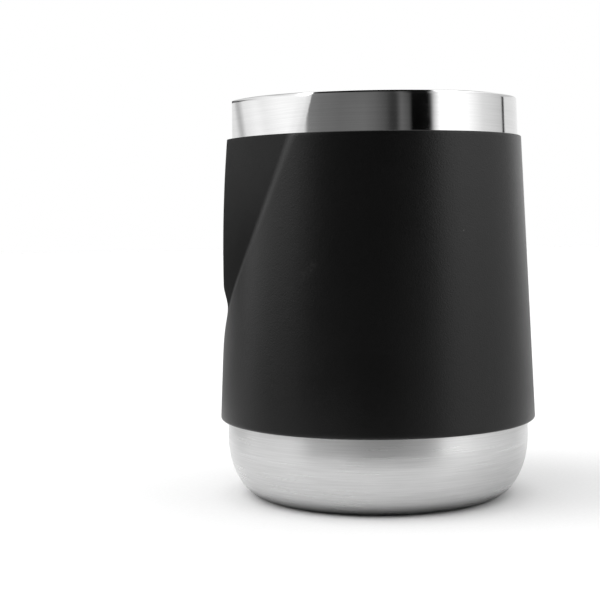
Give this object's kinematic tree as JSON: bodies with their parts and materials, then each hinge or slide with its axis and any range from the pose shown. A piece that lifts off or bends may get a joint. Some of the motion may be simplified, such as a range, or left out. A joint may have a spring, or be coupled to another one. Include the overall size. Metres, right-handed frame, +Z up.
{
  "type": "milk frothing pitcher",
  "caption": "Handleless steel frothing pitcher with a pinched V spout, rounded base, polished rim and black silicone grip sleeve.",
  "frame": {"origin": "on the vessel's axis, in the plane of its foot", "axes": "+Z up along the vessel's axis; the spout points to -X; the XZ plane is the mirror plane"},
  "size_m": [0.0934, 0.0934, 0.117],
  "materials": {
    "steel": "satin base and inside, polished rim",
    "silicone": "matte moulded"
  },
  "bodies": {
    "pitcher": {"pitcher_vessel": "steel"},
    "sleeve": {"grip_sleeve": "silicone"}
  },
  "joints": [
    {"name": "sleeve_pull", "type": "slide", "parent": "pitcher", "child": "sleeve", "axis": [0, 0, 1], "range_m": [0, 0.098]}
  ]
}
